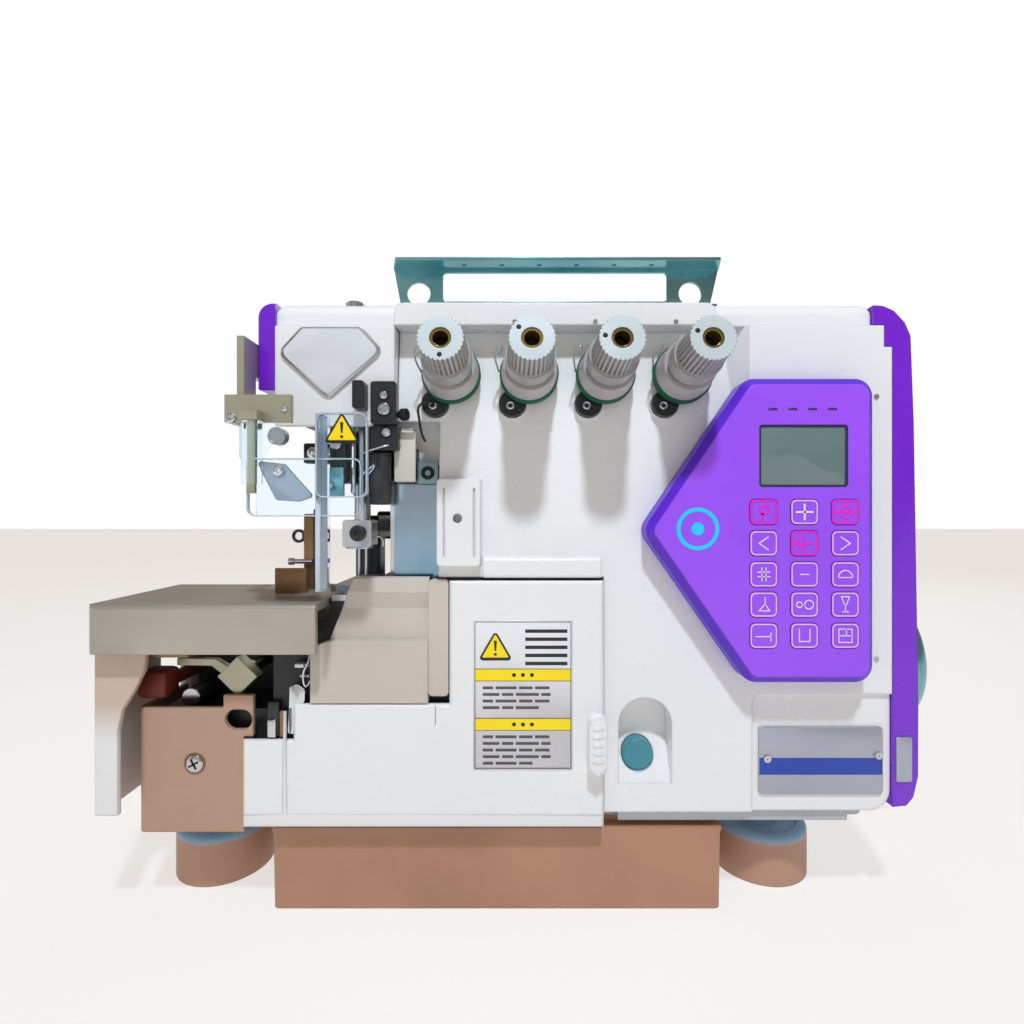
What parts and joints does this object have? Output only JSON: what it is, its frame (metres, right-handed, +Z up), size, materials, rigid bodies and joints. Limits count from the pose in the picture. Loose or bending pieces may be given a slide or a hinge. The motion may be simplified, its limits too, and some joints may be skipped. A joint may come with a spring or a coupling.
{
  "type": "serger overlock machine",
  "caption": "Industrial overlock sewing head with cloth plate, looper cover, thread tensions, control keypad, handwheel and oil pan on rubber feet.",
  "frame": {"origin": "on the floor, at the centre of the four machine feet", "axes": "+X to the operator's right along the main shaft, +Y away from the operator, +Z up"},
  "size_m": [0.425, 0.2305, 0.319],
  "materials": {
    "white_paint": "satin baked enamel",
    "purple_left": "moulded, semi-gloss",
    "purple_right": "moulded, semi-gloss",
    "panel_purple": "membrane overlay, satin",
    "tan_paint": "satin enamel",
    "foot_rubber": "moulded rubber",
    "cast_paint": "grey enamel on cast iron",
    "dark_casting": "black enamel on cast iron",
    "satin_steel": "satin ground",
    "polished_steel": "polished",
    "bright_steel": "ground",
    "beige_cover": "satin enamel",
    "black_oxide": "black oxide",
    "tension_black": "moulded",
    "tension_green": "dense felt",
    "tension_white": "moulded",
    "knob_grey": "knurled, anodised look",
    "clear_plastic": "clear moulded plastic",
    "bracket_khaki": "zinc plated, yellow passivated",
    "button_teal": "moulded",
    "key_face": "printed membrane",
    "wheel_metal": "turned and polished",
    "motor_core": "laminated core"
  },
  "bodies": {
    "machine_body": {"machine_feet": "foot_rubber", "oil_pan": "tan_paint", "base_frame": "cast_paint", "bed_casting": "dark_casting", "column_casting": "white_paint", "arm_casting": "dark_casting", "top_cover": "white_paint", "rear_cover": "white_paint", "front_fascia": "white_paint", "upper_front_strip": "white_paint", "head_front_cover": "white_paint", "left_end_cover": "purple_left", "right_end_cover": "purple_right", "bed_front_cover": "beige_cover", "side_box_cover": "tan_paint", "column_side_plate": "polished_steel", "tension_bases": "tension_black", "tension_rings": "tension_green", "tension_discs": "tension_white", "thread_guide_bracket": "polished_steel", "control_panel_housing": "panel_purple", "motor_stator": "motor_core", "shaft_bearings": "bright_steel", "needle_plate": "bright_steel", "needle_thread_guides": "black_oxide", "eye_guard_bracket": "bracket_khaki"},
    "handwheel_drive": {"main_shaft": "bright_steel", "handwheel": "wheel_metal"},
    "needle_bar": {"needle_bar": "bright_steel"},
    "presser_foot": {"presser_foot": "bright_steel"},
    "cover_bracket": {"cover_hinge_bracket": "bright_steel"},
    "looper_cover": {"looper_cover": "white_paint"},
    "cloth_plate": {"cloth_plate": "satin_steel", "side_skirt": "white_paint"},
    "eye_guard": {"eye_guard": "clear_plastic"},
    "stitch_length_button": {"stitch_length_button": "button_teal"},
    "differential_lever": {"differential_lever": "bracket_khaki"},
    "upper_looper": {"upper_looper": "bright_steel"},
    "lower_looper": {"lower_looper": "bright_steel"},
    "upper_knife": {"upper_knife": "bright_steel"},
    "feed_dog": {"feed_dog": "bright_steel"},
    "tension_knob_1": {"tension_knob_1": "knob_grey"},
    "tension_knob_2": {"tension_knob_2": "knob_grey"},
    "tension_knob_3": {"tension_knob_3": "knob_grey"},
    "tension_knob_4": {"tension_knob_4": "knob_grey"},
    "key_01": {"key_01": "key_face"},
    "key_02": {"key_02": "key_face"},
    "key_03": {"key_03": "key_face"},
    "key_04": {"key_04": "key_face"},
    "key_05": {"key_05": "key_face"},
    "key_06": {"key_06": "key_face"},
    "key_07": {"key_07": "key_face"},
    "key_08": {"key_08": "key_face"},
    "key_09": {"key_09": "key_face"},
    "key_10": {"key_10": "key_face"},
    "key_11": {"key_11": "key_face"},
    "key_12": {"key_12": "key_face"},
    "key_13": {"key_13": "key_face"},
    "key_14": {"key_14": "key_face"},
    "key_15": {"key_15": "key_face"}
  },
  "joints": [
    {"name": "handwheel_turn", "type": "hinge", "parent": "machine_body", "child": "handwheel_drive", "pos_m": [0.2, -0.017, 0.104], "axis": [1, 0, 0], "continuous": true},
    {"name": "needle_bar_stroke", "type": "slide", "parent": "machine_body", "child": "needle_bar", "axis": [0, 0, 1], "range_m": [-0.017, 0.007]},
    {"name": "presser_foot_lift", "type": "hinge", "parent": "machine_body", "child": "presser_foot", "pos_m": [-0.065, -0.02, 0.184], "axis": [-1, 0, 0], "range_deg": [0, 6]},
    {"name": "looper_cover_slide", "type": "slide", "parent": "machine_body", "child": "cover_bracket", "axis": [1, 0, 0], "range_m": [0, 0.006]},
    {"name": "looper_cover_open", "type": "hinge", "parent": "cover_bracket", "child": "looper_cover", "pos_m": [0, -0.098, 0.046], "axis": [1, 0, 0], "range_deg": [0, 88]},
    {"name": "cloth_plate_swing", "type": "hinge", "parent": "machine_body", "child": "cloth_plate", "pos_m": [-0.168, -0.05, 0.14], "axis": [0, 0, 1], "range_deg": [-95, 0]},
    {"name": "eye_guard_swing", "type": "hinge", "parent": "machine_body", "child": "eye_guard", "pos_m": [-0.1, -0.127, 0.215], "axis": [0, 0, 1], "range_deg": [-110, 0]},
    {"name": "stitch_length_press", "type": "slide", "parent": "machine_body", "child": "stitch_length_button", "axis": [0, 1, 0], "range_m": [0, 0.005], "stiffness_N_per_m": 400, "springref_m": -0.002},
    {"name": "differential_lever_turn", "type": "hinge", "parent": "machine_body", "child": "differential_lever", "pos_m": [-0.121, -0.088, 0.113], "axis": [0, 1, 0], "range_deg": [-12, 12]},
    {"name": "upper_looper_swing", "type": "hinge", "parent": "machine_body", "child": "upper_looper", "pos_m": [-0.046, -0.07, 0.08], "axis": [0, 1, 0], "range_deg": [-8, 8]},
    {"name": "lower_looper_swing", "type": "hinge", "parent": "machine_body", "child": "lower_looper", "pos_m": [-0.084, -0.082, 0.076], "axis": [0, 1, 0], "range_deg": [-8, 8]},
    {"name": "upper_knife_stroke", "type": "slide", "parent": "machine_body", "child": "upper_knife", "axis": [0, 0, 1], "range_m": [-0.004, 0.002]},
    {"name": "feed_dog_stroke", "type": "slide", "parent": "machine_body", "child": "feed_dog", "axis": [0, 1, 0], "range_m": [-0.0015, 0.001]},
    {"name": "tension_knob_1_turn", "type": "hinge", "parent": "machine_body", "child": "tension_knob_1", "pos_m": [-0.0182, -0.09074, 0.2575], "axis": [0, -0.9936, 0.1132], "range_deg": [-720, 720]},
    {"name": "tension_knob_2_turn", "type": "hinge", "parent": "machine_body", "child": "tension_knob_2", "pos_m": [0.0192, -0.09074, 0.2575], "axis": [0, -0.9936, 0.1132], "range_deg": [-720, 720]},
    {"name": "tension_knob_3_turn", "type": "hinge", "parent": "machine_body", "child": "tension_knob_3", "pos_m": [0.056, -0.09074, 0.2575], "axis": [0, -0.9936, 0.1132], "range_deg": [-720, 720]},
    {"name": "tension_knob_4_turn", "type": "hinge", "parent": "machine_body", "child": "tension_knob_4", "pos_m": [0.093, -0.09074, 0.2575], "axis": [0, -0.9936, 0.1132], "range_deg": [-720, 720]},
    {"name": "key_01_press", "type": "slide", "parent": "machine_body", "child": "key_01", "axis": [0, 1, 0], "range_m": [0, 0.0005], "stiffness_N_per_m": 600, "springref_m": -0.0005},
    {"name": "key_02_press", "type": "slide", "parent": "machine_body", "child": "key_02", "axis": [0, 1, 0], "range_m": [0, 0.0005], "stiffness_N_per_m": 600, "springref_m": -0.0005},
    {"name": "key_03_press", "type": "slide", "parent": "machine_body", "child": "key_03", "axis": [0, 1, 0], "range_m": [0, 0.0005], "stiffness_N_per_m": 600, "springref_m": -0.0005},
    {"name": "key_04_press", "type": "slide", "parent": "machine_body", "child": "key_04", "axis": [0, 1, 0], "range_m": [0, 0.0005], "stiffness_N_per_m": 600, "springref_m": -0.0005},
    {"name": "key_05_press", "type": "slide", "parent": "machine_body", "child": "key_05", "axis": [0, 1, 0], "range_m": [0, 0.0005], "stiffness_N_per_m": 600, "springref_m": -0.0005},
    {"name": "key_06_press", "type": "slide", "parent": "machine_body", "child": "key_06", "axis": [0, 1, 0], "range_m": [0, 0.0005], "stiffness_N_per_m": 600, "springref_m": -0.0005},
    {"name": "key_07_press", "type": "slide", "parent": "machine_body", "child": "key_07", "axis": [0, 1, 0], "range_m": [0, 0.0005], "stiffness_N_per_m": 600, "springref_m": -0.0005},
    {"name": "key_08_press", "type": "slide", "parent": "machine_body", "child": "key_08", "axis": [0, 1, 0], "range_m": [0, 0.0005], "stiffness_N_per_m": 600, "springref_m": -0.0005},
    {"name": "key_09_press", "type": "slide", "parent": "machine_body", "child": "key_09", "axis": [0, 1, 0], "range_m": [0, 0.0005], "stiffness_N_per_m": 600, "springref_m": -0.0005},
    {"name": "key_10_press", "type": "slide", "parent": "machine_body", "child": "key_10", "axis": [0, 1, 0], "range_m": [0, 0.0005], "stiffness_N_per_m": 600, "springref_m": -0.0005},
    {"name": "key_11_press", "type": "slide", "parent": "machine_body", "child": "key_11", "axis": [0, 1, 0], "range_m": [0, 0.0005], "stiffness_N_per_m": 600, "springref_m": -0.0005},
    {"name": "key_12_press", "type": "slide", "parent": "machine_body", "child": "key_12", "axis": [0, 1, 0], "range_m": [0, 0.0005], "stiffness_N_per_m": 600, "springref_m": -0.0005},
    {"name": "key_13_press", "type": "slide", "parent": "machine_body", "child": "key_13", "axis": [0, 1, 0], "range_m": [0, 0.0005], "stiffness_N_per_m": 600, "springref_m": -0.0005},
    {"name": "key_14_press", "type": "slide", "parent": "machine_body", "child": "key_14", "axis": [0, 1, 0], "range_m": [0, 0.0005], "stiffness_N_per_m": 600, "springref_m": -0.0005},
    {"name": "key_15_press", "type": "slide", "parent": "machine_body", "child": "key_15", "axis": [0, 1, 0], "range_m": [0, 0.0005], "stiffness_N_per_m": 600, "springref_m": -0.0005}
  ],
  "couplings": [
    {"joint": "upper_looper_swing", "follows": "needle_bar_stroke", "rad_per_m": 8},
    {"joint": "lower_looper_swing", "follows": "needle_bar_stroke", "rad_per_m": -8},
    {"joint": "upper_knife_stroke", "follows": "needle_bar_stroke", "ratio": 0.2},
    {"joint": "feed_dog_stroke", "follows": "needle_bar_stroke", "ratio": 0.08}
  ]
}
